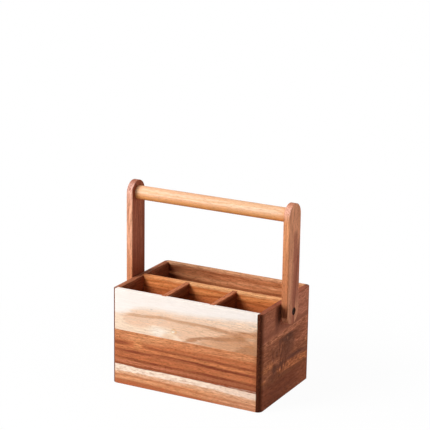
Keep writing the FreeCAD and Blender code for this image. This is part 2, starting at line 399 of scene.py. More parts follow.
SECOND_STREAK_LINE = [(38, 112.8), (70, 110.8), (90, 108)]
WHERE_STREAKS_MEET = (0.47, 0.20, 0.085)
FAINT_STREAK = (0.86, 0.565, 0.38)
FAINT_STREAK_LINE = [(-12, 102.5), (15, 103), (40, 103.2), (60, 105.5)]
KNOT_TAIL = (0.50, 0.235, 0.12)
KNOT_TAIL_LINE = [(-8, 82), (3, 86), (12, 89), (25, 93), (40, 96.2), (55, 97), (70, 99.2), (90, 101)]
KNOT_TAIL_HEART = (0.56, 0.27, 0.145)
UNDER_TAIL = (0.70, 0.38, 0.22)
UNDER_TAIL_EDGE = [(8, 78), (22, 88), (34, 92), (60, 94), (80, 92), (120, 84)]
LOWER_RIGHT = (0.50, 0.215, 0.095)
LOWER_RIGHT_EDGE = [(78, 84), (92, 93), (104, 97.5), (120, 104)]
LIGHT_FLARE = (0.86, 0.62, 0.44)
DARK_THREAD = (0.47, 0.21, 0.10)
DARK_THREAD_LINE = [(60, 113), (85, 113.6), (100, 113.2), (118, 114.2)]
KNOT_RING = (0.79, 0.47, 0.20)
KNOT_HEART = (0.97, 0.86, 0.72)
GREY_SPECK = (0.50, 0.46, 0.42)
UPPER_RIGHT_END = (0.50, 0.26, 0.15)
RIGHT_END_EDGE = [(95, 118), (118, 122)]

board = Board("front_upper_stave", "X", 63.0)
board.grow(PALE_EARLY, PALE_LATE, heart=(100.0, 150.0), ring=6.0, crisp=1.1, dash=(16.0, 1.5), fray=2.4)
inside = board.under(FIGURE_EDGE, 11.0)
to_right = rise(board.along, -50.0, 95.0)
board.tint(FIGURE, inside * 0.92)
board.tint(RING_LINES, rise(board.rings, 0.46, 0.62) * inside * 0.28)
board.tint(TAN, board.under(TAN_EDGE, 10.0) * 0.8)
board.tint(DEEPER_TAN, board.under(DEEPER_TAN_EDGE, 8.0) * to_right * 0.9)
board.tint(TAIL, board.under(TAIL_EDGE, 5.0) * rise(board.along, 15.0, 62.0) * 0.9)
board.tint(PALE_LOW, board.under(PALE_LOW_EDGE, 6.0) * 0.95)
board.tint(PALE_BY_KNOT, board.patch((-43, 91), (20, 9)) * 0.9)
board.tint(TAN_BELOW_KNOT, board.patch((-28, 86), (13, 6.5)) * 0.65)
started = rise(board.along, -110.0, -82.0)
board.tint(HEART_STREAK, board.streak(HEART_STREAK_LINE, 1.8, 2.6) * started * (0.66 + to_right * 0.3))
board.tint(SECOND_STREAK, board.streak(SECOND_STREAK_LINE, 1.6, 2.0) * rise(board.along, 28.0, 55.0) * 0.5)
board.tint(WHERE_STREAKS_MEET, board.patch((86, 103.5), (13, 6.5)) * 0.6)
ended = 1 - rise(board.along, 38.0, 66.0)
started = rise(board.along, -16.0, 4.0)
board.tint(FAINT_STREAK, board.streak(FAINT_STREAK_LINE, 2.2, 1.8) * ended * started * 0.7)
ended = 1 - rise(board.along, 66.0, 92.0)
started = rise(board.along, -8.0, 6.0)
board.tint(KNOT_TAIL, board.streak(KNOT_TAIL_LINE, 2.6, 1.8) * ended * started * 0.85)
board.tint(KNOT_TAIL_HEART, board.patch((11, 88), (11, 4.2)) * 0.7)
board.tint(UNDER_TAIL, board.under(UNDER_TAIL_EDGE, 3.5) * 0.65 * rise(board.along, 14.0, 26.0))
board.tint(LOWER_RIGHT, board.under(LOWER_RIGHT_EDGE, 6.0) * 0.7)
board.tint(LIGHT_FLARE, board.patch((105, 105.5), (12, 3)) * 0.35)
board.tint(DARK_THREAD, board.streak(DARK_THREAD_LINE, 1.0, 1.3) * rise(board.along, 68.0, 94.0) * 0.9)
board.tint(KNOT_RING, board.loop((-18.5, 95.5), (4.4, 3.6), 0.26) * rise(board.up, 90.0, 95.0) * 0.6)
board.tint(KNOT_HEART, board.patch((-20, 95), (3, 2.2)) * 0.8)
board.tint(GREY_SPECK, board.patch((-55, 122), (2.4, 1.4)) * 0.5)
board.tint(UPPER_RIGHT_END, rise(board.straight, 104.0, 113.0) * board.under(RIGHT_END_EDGE, 6.0) * 0.5)
coat("front_upper_stave", board, calm=0.88 - inside * (0.38 + to_right * 0.40))


# ---------------------------------------------------------------- back board
# Three edge-glued staves of plain heartwood, let into the rebates of the two sides. The wood is
# darkened towards the left corner by painted shade, and the upper stave is lighter along its rim.
BACK_EARLY = (0.78, 0.315, 0.138)
BACK_LATE = (0.48, 0.150, 0.060)
PAINTED_CORNER_SHADE = (0.15, 0.036, 0.013)
BACK_OUTSIDE = (0.42, 0.125, 0.050)
BROWN_TO_RIGHT = (0.54, 0.18, 0.064)
LIGHT_STREAK = (0.84, 0.38, 0.18)
LIGHT_STREAK_LINE = [(-110, 128), (-20, 127), (50, 130), (110, 129)]
DARK_VEIN = (0.26, 0.068, 0.024)
DARK_VEIN_LINE = [(-110, 122), (0, 121), (110, 123)]
BACK_RIM = (0.88, 0.46, 0.25)

for seed, node in enumerate(("back_lower_stave", "back_middle_stave", "back_upper_stave")):
    board = Board(node, "X", 74.0 + 5 * seed)
    board.grow(BACK_EARLY, BACK_LATE, heart=(-90.0, 30.0 * seed), ring=4.5, crisp=1.2, dash=(14.0, 1.5))
    # Painted shade in the left corner, which little light reaches.
    board.tint(PAINTED_CORNER_SHADE, (1 - rise(board.straight, -110.0, -76.0)) * 0.88)
    board.tint(BACK_OUTSIDE, rise(part_of(board.place, "Y"), 72.5, 73.5) * (0.45 - 0.2 * seed))
    if node == "back_upper_stave":
        board.tint(BROWN_TO_RIGHT, rise(board.straight, 20.0, 100.0) * 0.6)
        board.tint(LIGHT_STREAK, board.streak(LIGHT_STREAK_LINE, 2.2, 2.0) * 0.7)
        board.tint(DARK_VEIN, board.streak(DARK_VEIN_LINE, 1.4, 2.0) * 0.6)
        board.tint(BACK_RIM, rise(board.up, 138.5, 142.0) * 0.6)
    coat(node, board)


# ---------------------------------------------------------------- left and right side
# Each side is three staves, rebated at both ends. The ends of the grain show at the corners,
# where the oil sinks in and turns them dark brown.
END_GRAIN = (0.075, 0.019, 0.009)
BY_END_GRAIN = (0.20, 0.062, 0.033)
ENDS_FROM = 76.0


def open_ends(board, darkest=END_GRAIN):
    """Darken the ends of a side's staves, where they lap over the front and back boards."""
    from_middle = abs(part_of(board.place, "X"))
    speckle = uneven(board.place, board.seed + 9, 1.2, 0.7, 1.0) * 2.0
    ragged = from_middle + speckle
    board.tint(BY_END_GRAIN, rise(ragged, ENDS_FROM - 9.0, ENDS_FROM) * 0.5)
    board.tint(darkest, rise(ragged, ENDS_FROM - 2.2, ENDS_FROM + 1.8) * 0.9)


FOOT_EARLY = (0.30, 0.078, 0.031)
FOOT_LATE = (0.215, 0.055, 0.022)
PAINTED_LIGHT_TO_BACK_FOOT = (0.39, 0.112, 0.046)
WORN_EDGE = (0.40, 0.120, 0.052)

board = Board("right_lower_stave", "Y", 95.0)
board.grow(FOOT_EARLY, FOOT_LATE, heart=(-90.0, 0.0), ring=4.5, crisp=1.2)
# Painted light: the side grows lighter towards the back, where the low lamp stands.
board.tint(PAINTED_LIGHT_TO_BACK_FOOT, rise(board.along, 0.0, 70.0) * 0.6)
board.tint(WORN_EDGE, (1 - rise(board.up, 8.0, 15.0)) * rise(board.along, -30.0, 0.0) * 0.5)
open_ends(board)
coat("right_lower_stave", board)

SMOKED_EARLY = (0.46, 0.154, 0.069)
SMOKED_LATE = (0.33, 0.099, 0.044)
UPPER_JOINT = (0.62, 0.225, 0.112)
PAINTED_LIGHT_TO_BACK_MIDDLE = (0.50, 0.16, 0.078)
ORANGE_FRONT = (0.56, 0.185, 0.072)
ORANGE_BELOW = (0.56, 0.175, 0.067)
ORANGE_BELOW_EDGE = [(-80, 48), (-30, 48.5), (10, 49.5), (40, 48), (80, 46)]
BRIGHT_BACK = (0.70, 0.225, 0.078)
BRIGHT_FRONT = (0.60, 0.19, 0.066)
SMOKE = (0.13, 0.043, 0.022)
THIN_SMOKE = (0.23, 0.071, 0.032)
SMOKE_TRAIL = [(-26, 86), (-5, 88), (12, 88.5), (34, 85), (56, 80)]
HAZE = (0.22, 0.078, 0.045)
GAP_IN_SMOKE = (0.50, 0.19, 0.09)
SMOKE_FOOT = (0.14, 0.045, 0.022)
LOW_VEIN = (0.15, 0.045, 0.024)
LOW_VEIN_LINE = [(-30, 52), (-5, 54), (20, 54), (40, 54), (60, 51.5), (78, 49)]
LOWER_JOINT = (0.24, 0.07, 0.028)
LOWER_JOINT_EDGE = [(-80, 40), (-10, 39), (30, 37), (80, 35)]
FLECK = (0.15, 0.045, 0.022)
SHADED_FRONT = (0.20, 0.055, 0.024)
SHADED_MIDDLE = (0.20, 0.058, 0.028)
SHADED_BACK = (0.30, 0.09, 0.042)
LIGHT_BACK = (0.54, 0.20, 0.088)

board = Board("right_middle_stave", "Y", 100.0)
board.grow(SMOKED_EARLY, SMOKED_LATE, heart=(-90.0, 40.0), ring=4.5, crisp=2.4)
# Painted light: the stave grows lighter towards the back, where the low lamp stands.
painted_light_to_back = rise(board.along, -10.0, 40.0)
board.tint(UPPER_JOINT, between(board.up, 94.0, 98.0, 2.5) * 0.7)
board.tint(PAINTED_LIGHT_TO_BACK_MIDDLE, rise(board.up, 62.0, 74.0) * painted_light_to_back * 0.6)
board.tint(ORANGE_FRONT, board.patch((-60, 59), (26, 8)) * 0.85)
board.tint(ORANGE_BELOW, board.under(ORANGE_BELOW_EDGE, 2.0) * rise(board.along, -36.0, -24.0) * 0.9)
board.tint(BRIGHT_BACK, board.patch((62, 42.5), (24, 4.6)) * 0.85)
board.tint(BRIGHT_FRONT, board.patch((-72, 41), (9, 5)) * 0.7)
board.tint(SMOKE, board.patch((4, 78), (20, 14)) * 0.85)
board.tint(SMOKE, board.patch((15, 82), (19, 12)) * 0.8)
board.tint(THIN_SMOKE, board.patch((8, 70), (26, 17)) * 0.8)
ended = 1 - rise(board.along, 30.0, 50.0)
started = rise(board.along, -34.0, -10.0)
board.tint(SMOKE, board.streak(SMOKE_TRAIL, 4.5, 3.0) * ended * started * 0.8)
board.tint(HAZE, board.patch((-32, 79), (12, 8)) * 0.35)
board.tint(GAP_IN_SMOKE, board.patch((4, 86), (3, 2.5)) * 0.5)
board.tint(SMOKE_FOOT, board.patch((-37, 52), (9, 8)) * 0.85)
started = rise(board.along, -46.0, -6.0)
darkest_part = between(board.along, 18.0, 44.0, 14.0)
board.tint(LOW_VEIN, board.streak(LOW_VEIN_LINE, 2.8, 2.6) * started * (0.5 + darkest_part * 0.38))
board.tint(LOWER_JOINT, board.under(LOWER_JOINT_EDGE, 2.5) * 0.85)
flecks = rise(noise(board.place, 107.0, 4.6, 13.0, 3.0), 0.46, 0.62)
board.tint(FLECK, flecks * board.patch((-24, 62), (40, 36)) * 0.95)
board.tint(SHADED_FRONT, board.patch((-42, 42), (22, 5)) * 0.8)
board.tint(SHADED_MIDDLE, board.patch((0, 63), (15, 9)) * 0.6)
board.tint(SHADED_BACK, board.patch((38, 86), (24, 10)) * 0.7)
board.tint(LIGHT_BACK, board.patch((67, 59), (9, 12)) * 0.55)
open_ends(board)
coat("right_middle_stave", board)

RED_EARLY = (0.48, 0.16, 0.082)
RED_LATE = (0.38, 0.12, 0.058)
PAINTED_LIGHT_TO_BACK_UPPER = (0.57, 0.195, 0.108)
BROAD_BAND = (0.27, 0.082, 0.040)
BROAD_BAND_LINE = [(-80, 105), (-20, 107), (30, 104), (80, 107)]
NARROW_BAND = (0.33, 0.10, 0.055)
NARROW_BAND_LINE = [(-80, 127), (-30, 126), (40, 122), (80, 123)]
ABOVE_JOINT = (0.60, 0.22, 0.11)
ABOVE_JOINT_EDGE = [(-80, 100.5), (80, 101.5)]
BROWN_FRONT = (0.36, 0.112, 0.058)
BROWN_MIDDLE = (0.34, 0.104, 0.046)
PAINTED_UPRIGHT_SHADOW = (0.20, 0.056, 0.028)
PAINTED_UPRIGHT_SHADOW_DEEP = (0.08, 0.024, 0.013)
SIDE_RIM = (0.30, 0.085, 0.042)

board = Board("right_upper_stave", "Y", 105.0)
board.grow(RED_EARLY, RED_LATE, heart=(-90.0, 80.0), ring=4.5, crisp=1.2)
# Painted light: the stave grows lighter towards the back, where the low lamp stands.
board.tint(PAINTED_LIGHT_TO_BACK_UPPER, rise(board.along, 10.0, 50.0) * 0.7)
board.tint(BROAD_BAND, board.streak(BROAD_BAND_LINE, 3.5, 4.0) * 0.65)
board.tint(NARROW_BAND, board.streak(NARROW_BAND_LINE, 1.2, 2.0) * 0.5)
board.tint(ABOVE_JOINT, board.under(ABOVE_JOINT_EDGE, 2.5) * 0.6)
board.tint(BROWN_FRONT, board.patch((-62, 112), (15, 12)) * 0.5)
board.tint(BROWN_MIDDLE, board.patch((6, 114), (20, 6)) * 0.4)
# Painted shadow of the upright on the side board, darkest in the narrow gap beside it.
board.tint(PAINTED_UPRIGHT_SHADOW, board.patch((-31, 126), (10, 26)) * 0.9)
board.tint(PAINTED_UPRIGHT_SHADOW_DEEP, board.patch((-24, 130), (7, 20)) * 0.85)
board.tint(SIDE_RIM, rise(part_of(board.place, "Z"), 142.0, 143.2) * 0.75)
open_ends(board)
coat("right_upper_stave", board)

LEFT_EARLY = (0.48, 0.18, 0.090)
LEFT_LATE = (0.32, 0.106, 0.052)
LEFT_DEEPER = (0.40, 0.120, 0.052)
DEEPER_SHARE = {"lower": 0.1, "middle": 0.55, "upper": 0.0}
LEFT_STREAK = (0.23, 0.062, 0.026)
LEFT_END_GRAIN = (0.17, 0.052, 0.026)

for seed, stave in enumerate(("lower", "middle", "upper")):
    node = f"left_{stave}_stave"
    board = Board(node, "Y", 112.0 + 5 * seed)
    board.grow(LEFT_EARLY, LEFT_LATE, heart=(60.0, 40.0 * seed), ring=4.2, dash=(12.0, 1.5))
    height = 22.0 + 46.0 * seed
    board.tint(LEFT_DEEPER, DEEPER_SHARE[stave])
    left_streak_line = [(-80, height), (-20, height + 6), (30, height + 2), (80, height + 5)]
    board.tint(LEFT_STREAK, board.streak(left_streak_line, 2.0, 2.5) * 0.6)
    open_ends(board, darkest=LEFT_END_GRAIN)
    coat(node, board)


# ---------------------------------------------------------------- dividers
# Six thin staves of plain orange heartwood, glued in pairs one above the other. The long divider
# is housed in the two sides, and the two cross dividers in it and in the front board.
LONG_EARLY = (0.93, 0.35, 0.115)
LONG_LATE = (0.70, 0.20, 0.058)
PAINTED_SHADE_LOW_IN_BOX = (0.48, 0.105, 0.032)
LONG_RIM = (0.96, 0.50, 0.23)
LONG_VEIN = (0.36, 0.08, 0.022)
LONG_VEIN_LINE = [(-110, 128), (-50, 126), (20, 130), (110, 127)]
CROSS_EARLY = (0.36, 0.140, 0.064)
CROSS_LATE = (0.22, 0.070, 0.030)
CROSS_RIM = (0.56, 0.185, 0.080)

for seed, node in enumerate(("long_divider_lower", "long_divider_upper")):
    board = Board(node, "X", 130.0 + 6 * seed)
    board.grow(LONG_EARLY, LONG_LATE, heart=(-80.0, 60.0), ring=3.5, crisp=1.1, dash=(14.0, 1.2))
    # Painted shade: the dividers grow darker lower down in the compartments.
    board.tint(PAINTED_SHADE_LOW_IN_BOX, (1 - rise(board.up, 118.0, 133.0)) * 0.8)
    board.tint(LONG_RIM, rise(board.up, 138.0, 142.5) * (0.25 + rise(board.along, -90.0, -20.0) * 0.6))
    board.tint(LONG_VEIN, board.streak(LONG_VEIN_LINE, 1.2, 1.8) * 0.6)
    coat(node, board)
for seed, node in enumerate(("left_cross_divider_lower", "left_cross_divider_upper",
                             "right_cross_divider_lower", "right_cross_divider_upper")):
    board = Board(node, "Y", 150.0 + 6 * seed)
    board.grow(CROSS_EARLY, CROSS_LATE, heart=(-80.0, 60.0), ring=4.0)
    board.tint(CROSS_RIM, rise(board.up, 139.5, 142.5) * 0.85)
    coat(node, board)


# ---------------------------------------------------------------- uprights
# Flat bars with two round ends, shaped from straight-grained wood; the grain runs up them. The
# hole for the screw is burnt a little by the bit, and the round ends show the end of the grain,
# with a painted highlight on their front. Low down, the bars carry painted shade.
BAR_AHEAD = 3.0
BAR_RADIUS = 18.2
low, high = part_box("right_washer")
PIVOT_HEIGHT = PER_METRE * (low[2] + high[2]) / 2
low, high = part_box("right_upright")
ARC_HEIGHT = PER_METRE * high[2] - BAR_RADIUS
FRONT_EDGE = -BAR_AHEAD - BAR_RADIUS

VEIN_FOOT = 131
VEIN_SLOPE = 0.11

BAR_SEED = {"left": 191.0, "right": 180.0}
# The left bar is darker than the right partly in its own wood and partly as painted shade on its inner face;
# its front edge is tinted light.
BAR_EARLY = {"left": (0.465, 0.142, 0.072), "right": (0.90, 0.385, 0.205)}
BAR_LATE = {"left": (0.325, 0.088, 0.044), "right": (0.76, 0.30, 0.152)}
BROWN_HALF = (0.50, 0.165, 0.093)
ROUND_VEIN = (0.38, 0.102, 0.053)
VEIN = (0.20, 0.052, 0.026)
ABOVE_VEIN = (0.50, 0.155, 0.085)
LOWER_REAR = (0.68, 0.275, 0.150)
PAINTED_SHADE_BELOW_RIM = (0.62, 0.255, 0.135)
BELOW_SCREW = (0.10, 0.030, 0.016)
RIGHT_EDGE = (0.80, 0.345, 0.160)
RIGHT_EDGE_LOWER = (0.62, 0.225, 0.098)
PAINTED_SHADE_EDGE_BELOW_RIM = (0.17, 0.045, 0.020)
PAINTED_SHADE_LEFT_BAR_FOOT = (0.25, 0.060, 0.026)
LEFT_BAR_REAR = (0.24, 0.062, 0.030)
LEFT_BAR_VEIN = (0.30, 0.074, 0.034)
LEFT_EDGE = (0.86, 0.42, 0.26)
LEFT_EDGE_LOWER = (0.66, 0.25, 0.115)
LEFT_EDGE_TOP = (0.80, 0.42, 0.31)
BURNT = (0.05, 0.016, 0.008)
HOLE_RIM = 5.25
ROUND_END_REAR = (0.50, 0.21, 0.15)
PAINTED_HIGHLIGHT_ROUND_END = (0.84, 0.50, 0.41)


def distance_from(board, height, across):
    """How far a point of a bar is from a line through the bar's thickness."""
    offset = vector_maths("SUBTRACT", board.place, (height, across, 0.0))
    return length_of(vector_maths("MULTIPLY", offset, (1.0, 1.0, 0.0)))


for side in ("left", "right"):
    node = f"{side}_upright"
    board = Board(node, "Z", BAR_SEED[side])
    across = part_of(board.place, "Y")
    height = part_of(board.place, "X")
    edge = 1 - rise(across, FRONT_EDGE + 0.3, FRONT_EDGE + 1.3)
    heart = (-60.0, 30.0)
    board.grow(BAR_EARLY[side], BAR_LATE[side], heart, ring=4.0, crisp=1.2, dash=(26.0, 1.3))
    drifted = across + uneven(board.place, board.seed + 7, 60.0, 6.0, 1.0) * 3.0
    if side == "right":
        from_vein = drifted - (height - VEIN_FOOT) * VEIN_SLOPE
        board.tint(BROWN_HALF, rise(from_vein, -21.0, -6.0) * (1 - rise(board.along, 208.0, 240.0)) * 0.95)
        board.tint(ROUND_VEIN, between(from_vein, -5.0, 1.5, 5.0) * (1 - rise(height, 200.0, 235.0)) * 0.6)
        board.tint(VEIN, between(from_vein, -0.5, 0.3, 0.9) * between(height, 133.0, 205.0, 8.0) * 0.75)
        board.tint(ABOVE_VEIN, between(drifted, -5.0, 4.0, 3.0) * between(height, 205.0, 238.0, 12.0) * 0.85)
        board.tint(LOWER_REAR, rise(from_vein, 1.0, 4.0) * (1 - rise(height, 134.0, 154.0)) * 0.9)
        # Painted shade on the right bar's front below the rim, where the box keeps the lamp off it.
        board.tint(PAINTED_SHADE_BELOW_RIM, (1 - rise(from_vein, -8.0, -2.0)) * (1 - rise(height, 132.0, 152.0)) * 0.6)
        board.tint(BELOW_SCREW, between(drifted, 0.6, 1.1, 0.9) * (1 - rise(height, 122.0, 127.0)) * 0.8)
        board.tint(RIGHT_EDGE, edge * 0.9)
        board.tint(RIGHT_EDGE_LOWER, edge * (1 - rise(height, 165.0, 262.0)) * 0.8)
        # Painted shade on the front edge below the rim of the box.
        board.tint(PAINTED_SHADE_EDGE_BELOW_RIM, edge * (1 - rise(height, 136.0, 147.0)) * 0.74)
    else:
        # Painted shade: the left bar darkens towards its foot, where the box keeps light off it.
        board.tint(PAINTED_SHADE_LEFT_BAR_FOOT, (1 - rise(height, 140.0, 200.0)) * 0.6)
        board.tint(LEFT_BAR_REAR, rise(across, 5.0, 12.0) * (0.75 - rise(height, 170.0, 255.0) * 0.25))
        board.tint(LEFT_BAR_VEIN, between(drifted, -4.0, 1.0, 2.5) * 0.2)
        board.tint(LEFT_EDGE, edge * 0.92)
        board.tint(LEFT_EDGE_LOWER, edge * (1 - rise(height, 150.0, 210.0)) * 0.8)
        board.tint(LEFT_EDGE_TOP, edge * rise(height, 245.0, 272.0) * 0.7)
    from_screw = distance_from(board, PIVOT_HEIGHT, 0.0)
    board.tint(BURNT, (1 - rise(from_screw, HOLE_RIM, HOLE_RIM + 0.75)) * 0.9)
    from_arc = distance_from(board, ARC_HEIGHT, -BAR_AHEAD)
    at_rim = rise(from_arc, BAR_RADIUS - 0.7, BAR_RADIUS - 0.1)
    round_end = at_rim * rise(height, ARC_HEIGHT - 8.0, ARC_HEIGHT + 12.0)
    rear = rise(across, -17.0, -8.0)
    board.tint(ROUND_END_REAR, round_end * rear * 0.6)
    # Painted highlight on the front of the round ends; the rear keeps the dark end grain.
    board.tint(PAINTED_HIGHLIGHT_ROUND_END, round_end * (1 - rear) * 0.6)
    coat(node, board)


# ---------------------------------------------------------------- grip
# A turned rod of honey-coloured wood with chamfered ends, glued into the blind sockets of the
# uprights. A painted highlight runs along its upper front, and painted shade darkens its underside
# and its ends by the uprights. It is turned here by the rule that a lathe follows.
def made_by_rule(name, values, build, material):
    """A mesh object from a Geometry Nodes tree with these named inputs, converted to plain faces."""
    tree = bpy.data.node_groups.new(name, "GeometryNodeTree")
    identifiers = {}
    for label, value in values.items():
        kind = "NodeSocketInt" if isinstance(value, int) else "NodeSocketFloat"
        identifiers[label] = tree.interface.new_socket(label, in_out="INPUT", socket_type=kind).identifier
    tree.interface.new_socket("Geometry", in_out="OUTPUT", socket_type="NodeSocketGeometry")
    given = tree.nodes.new("NodeGroupInput")
    shape = build({label: Reading(given.outputs[label]) for label in values})
    shape = shape.node("GeometryNodeRealizeInstances", {}, {"Geometry": shape})
    shape = shape.node("GeometryNodeSetMaterial", {}, {"Geometry": shape, "Material": material})
    tree.links.new(shape.socket, tree.nodes.new("NodeGroupOutput").inputs[0])
    made = bpy.data.objects.new(name, bpy.data.meshes.new(name))
    bpy.context.scene.collection.objects.link(made)
    modifier = made.modifiers.new("rule", "NODES")
    modifier.node_group = tree
    for label, value in values.items():
        modifier[identifiers[label]] = value
    made.update_tag()
    whole = made.evaluated_get(bpy.context.evaluated_depsgraph_get())
    mesh = bpy.data.meshes.new_from_object(whole)
    mesh.polygons.foreach_set("material_index", [0] * len(mesh.polygons))
    mesh.materials.clear()
    mesh.materials.append(material)
    made.modifiers.remove(modifier)
    made.data = mesh
    return made


def stretches(row, counts):
    """How far each stretch of a profile has gone at this row, from 0 to 1. Counts are in rows."""
    shares = []
    first = 0
    for count in counts:
        shares.append(row.node("ShaderNodeClamp", {}, {"Value": (row - first) / count}))
        first += count
    return shares


SAME_POINT = 0.000001
SHARP_ANGLE = 0.6


def turned(around, rows, profile):
    """A closed surface round the X axis. The profile gives a place on the axis and a radius."""
    size = {"Size X": 1.0, "Size Y": 1.0, "Vertices X": around + 1, "Vertices Y": rows + 1}
    grid = around.node("GeometryNodeMeshGrid", {}, size)
    flat = grid.node("GeometryNodeInputPosition")
    turn = part_of(flat, "X") + 0.5
    row = (part_of(flat, "Y") + 0.5) * rows
    place, radius = profile(turn, row)
    angle = turn * (2 * math.pi)
    sideways = radius * angle.maths("COSINE", angle)
    upwards = radius * angle.maths("SINE", angle)
    points = place.node("ShaderNodeCombineXYZ", {}, {"X": place, "Y": sideways, "Z": upwards})
    shape = grid.node("GeometryNodeSetPosition", {}, {"Geometry": grid, "Position": points})
    shape = shape.node("GeometryNodeMergeByDistance", {}, {"Geometry": shape, "Distance": SAME_POINT})
    angle = shape.node("GeometryNodeInputMeshEdgeAngle")
    sharp = angle.node("FunctionNodeCompare", {"operation": "GREATER_THAN"}, {"A": angle, "B": SHARP_ANGLE})
    creased = {"Geometry": shape, "Selection": sharp, "Shade Smooth": False}
    return shape.node("GeometryNodeSetShadeSmooth", {"domain": "EDGE"}, creased)


def moved(shape, place):
    return shape.node("GeometryNodeTransform", {}, {"Geometry": shape, "Translation": place})


def grip_rule(given):
    """A rod along X with a chamfer at each end: disc, bevel, side, bevel, disc."""
    counts = (3, 1, 40, 1, 3)
    radius, chamfer, length = given["radius"], given["chamfer"], given["length"]

    def profile(turn, row):
        disc, first_bevel, side, last_bevel, last_disc = stretches(row, counts)
        place = chamfer * (first_bevel + last_bevel) + (length - chamfer * 2) * side - length / 2
        across = (radius - chamfer) * (disc - last_disc) + chamfer * (first_bevel - last_bevel)
        return place, across

    rod = turned(given["faces around"], sum(counts), profile)
    return moved(rod, rod.node("ShaderNodeCombineXYZ", {}, {"Y": given["middle y"], "Z": given["middle z"]}))


GRIP_EARLY = (0.905, 0.56, 0.355)
GRIP_LATE = (0.845, 0.450, 0.258)
RICHER_TO_RIGHT = (0.87, 0.50, 0.275)
PAINTED_HIGHLIGHT_STRIPE = (0.945, 0.67, 0.47)
PAINTED_SHADE_LOWER_HALF = (0.88, 0.37, 0.116)
PAINTED_SHADE_UNDERSIDE = (0.72, 0.20, 0.032)
PAINTED_SHADE_BY_SOCKETS = (0.62, 0.27, 0.10)
HONEY_LINE = (0.80, 0.42, 0.20)
HONEY_LINE_PATH = [(-115, 274), (-20, 272), (60, 275), (115, 273)]

board = Board("grip_wood", "X", 210.0)
heart = (-40.0, 60.0)
board.grow(GRIP_EARLY, GRIP_LATE, heart, ring=3.5, contrast=0.8, crisp=0.65, dash=(11.0, 1.1))
to_right = rise(board.along, -60.0, 80.0)
board.tint(RICHER_TO_RIGHT, to_right * 0.4)
# Painted highlight along the upper front of the rod.
board.tint(PAINTED_HIGHLIGHT_STRIPE, between(board.up, 270.5, 275.0, 1.8) * 0.6)
# Painted shade on the lower half and the underside of the rod.
board.tint(PAINTED_SHADE_LOWER_HALF, (1 - rise(board.up, 262.5, 271.0)) * 0.9)
board.tint(PAINTED_SHADE_UNDERSIDE, (1 - rise(board.up, 258.5, 263.0)) * (0.7 + to_right * 0.25))
# Painted shade where the uprights shade the ends of the rod.
board.tint(PAINTED_SHADE_BY_SOCKETS, rise(abs(board.straight), 109.0, 119.0) * 0.45)
board.tint(HONEY_LINE, board.streak(HONEY_LINE_PATH, 0.8, 1.2) * 0.5)

low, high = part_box("grip")
ROD = {"radius": (high[2] - low[2]) / 2, "chamfer": 0.0008, "length": high[0] - low[0],
       "middle y": (low[1] + high[1]) / 2, "middle z": (low[2] + high[2]) / 2, "faces around": 96}
grip = made_by_rule("turned_grip", ROD, grip_rule, board.finish(sheen=0.42))
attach(grip, "handle")
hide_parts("grip")


# ---------------------------------------------------------------- pivot screws
# Two round-headed wood screws in black oxide, let into the uprights. Each has a cross recess, a
# plain shank where the upright turns on it, and a helical thread in the end of the long divider.
LINES_PER_MM = 9
METAL_RELIEF = 0.00003


def metal(name, seed, dull, bright, sheen, metallic, specular):
    """A metal with fine lines round the pivot axis, and stains."""
    material = bpy.data.materials.new(name)
    material.use_nodes = True
    tree = material.node_tree
    shader = tree.nodes["Principled BSDF"]
    point = Reading(tree.nodes.new("ShaderNodeTexCoord").outputs["Object"])
    moving = {"Vector": point, "Location": (0.0, 0.0, -PIVOT_HEIGHT), "Scale": TO_MILLIMETRES}
    place = point.node("ShaderNodeMapping", {}, moving)
    radius = length_of(vector_maths("MULTIPLY", place, (0.0, 1.0, 1.0)))
    turning = {"W": radius * LINES_PER_MM + seed, "Scale": 1.0}
    lines = radius.node("ShaderNodeTexNoise", {"noise_dimensions": "1D"}, turning)
    stain = noise(place, seed, 1.6, 1.3, 3.0)
    worn = rise(lines * 0.35 + stain * 0.65, 0.44, 0.62)
    colour = blend(opaque(dull), opaque(bright), worn)
    tree.links.new(colour.socket, shader.inputs["Base Color"])
    rough = sheen + (stain - 0.5) * 0.3 - worn * 0.12
    tree.links.new(rough.socket, shader.inputs["Roughness"])
    relief = {"Height": lines * 0.6 + stain * 0.4, "Distance": METAL_RELIEF, "Strength": 1.0}
    normal = lines.node("ShaderNodeBump", {}, relief)
    tree.links.new(normal.socket, shader.inputs["Normal"])
    shader.inputs["Metallic"].default_value = metallic
    shader.inputs["Specular IOR Level"].default_value = specular
    return material


def at_both_ends(shape, given):
    """The shape on the pivot axis at the right, and once more turned half round at the left."""
    start = shape.node("ShaderNodeCombineXYZ", {}, {"X": given["distance"], "Z": given["height"]})
    step = shape.node("ShaderNodeCombineXYZ", {}, {"X": given["distance"] * -2})
    line = shape.node("GeometryNodeMeshLine", {}, {"Count": 2, "Start Location": start, "Offset": step})
    half_turn = line.node("GeometryNodeInputIndex") * math.pi
    turning = half_turn.node("ShaderNodeCombineXYZ", {}, {"Z": half_turn})
    placed = {"Points": line, "Instance": shape, "Rotation": turning}
    return line.node("GeometryNodeInstanceOnPoints", {}, placed)


